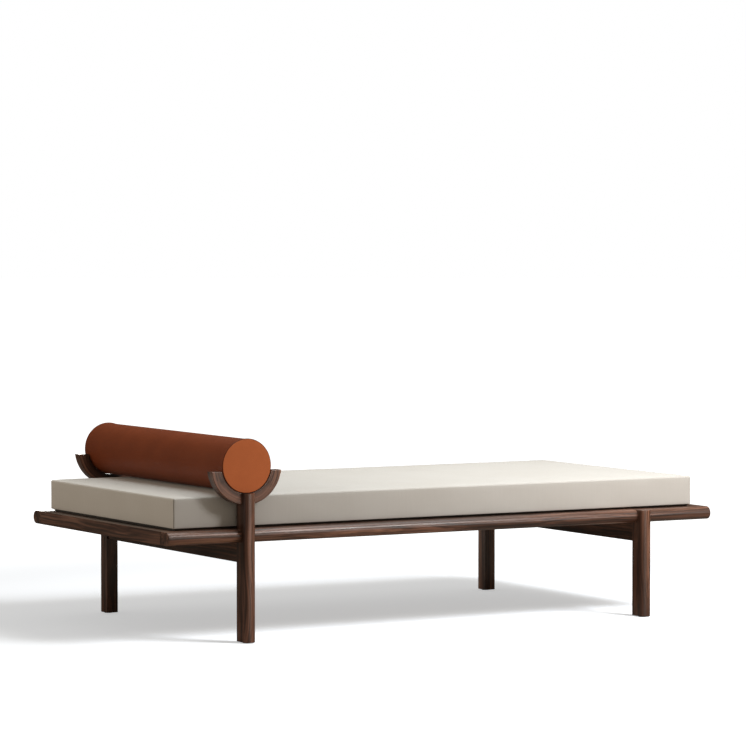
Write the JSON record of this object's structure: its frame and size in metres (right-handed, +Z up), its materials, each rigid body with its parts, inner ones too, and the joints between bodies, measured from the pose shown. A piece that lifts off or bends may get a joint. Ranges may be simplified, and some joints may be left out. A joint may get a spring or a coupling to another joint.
{
  "type": "daybed",
  "caption": "Timber daybed with bullnosed rails on D-shaped legs, a slatted base, one mattress and a round leather bolster held in two ring-shaped cradles.",
  "frame": {"origin": "on the floor, midway between the ends and midway between the sides", "axes": "+X from the head end to the foot end, +Y from front to rear, +Z up"},
  "size_m": [2, 1.038, 0.6291],
  "materials": {
    "walnut": "satin",
    "beech": "matte",
    "woven_cover": "matte",
    "foam": "matte",
    "leather_wrap": "satin",
    "leather_panel": "satin",
    "nylon": "matte",
    "screw_steel": "satin"
  },
  "bodies": {
    "frame": {"bolster_cradle_front": "walnut", "bolster_cradle_rear": "walnut", "centre_support": "beech", "cleat_front": "beech", "cleat_rear": "beech", "cleat_screws": "screw_steel", "cradle_screws": "screw_steel", "cross_beam_foot": "walnut", "cross_beam_head": "walnut", "end_rail_foot": "walnut", "end_rail_head": "walnut", "foot_leg_front": "walnut", "foot_leg_rear": "walnut", "glide_foot_front": "nylon", "glide_foot_rear": "nylon", "glide_head_front": "nylon", "glide_head_rear": "nylon", "head_leg_front": "walnut", "head_leg_rear": "walnut", "leg_bolts": "screw_steel", "leg_inserts": "screw_steel", "side_rail_front": "walnut", "side_rail_rear": "walnut", "slat_01": "beech", "slat_02": "beech", "slat_03": "beech", "slat_04": "beech", "slat_05": "beech", "slat_06": "beech", "slat_07": "beech", "slat_08": "beech", "slat_09": "beech", "slat_10": "beech", "slat_11": "beech", "slat_12": "beech", "slat_13": "beech", "slat_14": "beech", "slat_screws": "screw_steel"},
    "mattress": {"mattress_core": "foam", "mattress_cover": "woven_cover"},
    "bolster": {"bolster_core": "foam", "bolster_wrap": "leather_wrap", "bolster_end_front": "leather_panel", "bolster_end_rear": "leather_panel"}
  },
  "joints": [
    {"name": "bolster_lift", "type": "slide", "parent": "frame", "child": "bolster", "axis": [0, 0, 1], "range_m": [0, 0.3]},
    {"name": "mattress_slide", "type": "slide", "parent": "frame", "child": "mattress", "axis": [1, 0, 0], "range_m": [0, 1.95]}
  ]
}
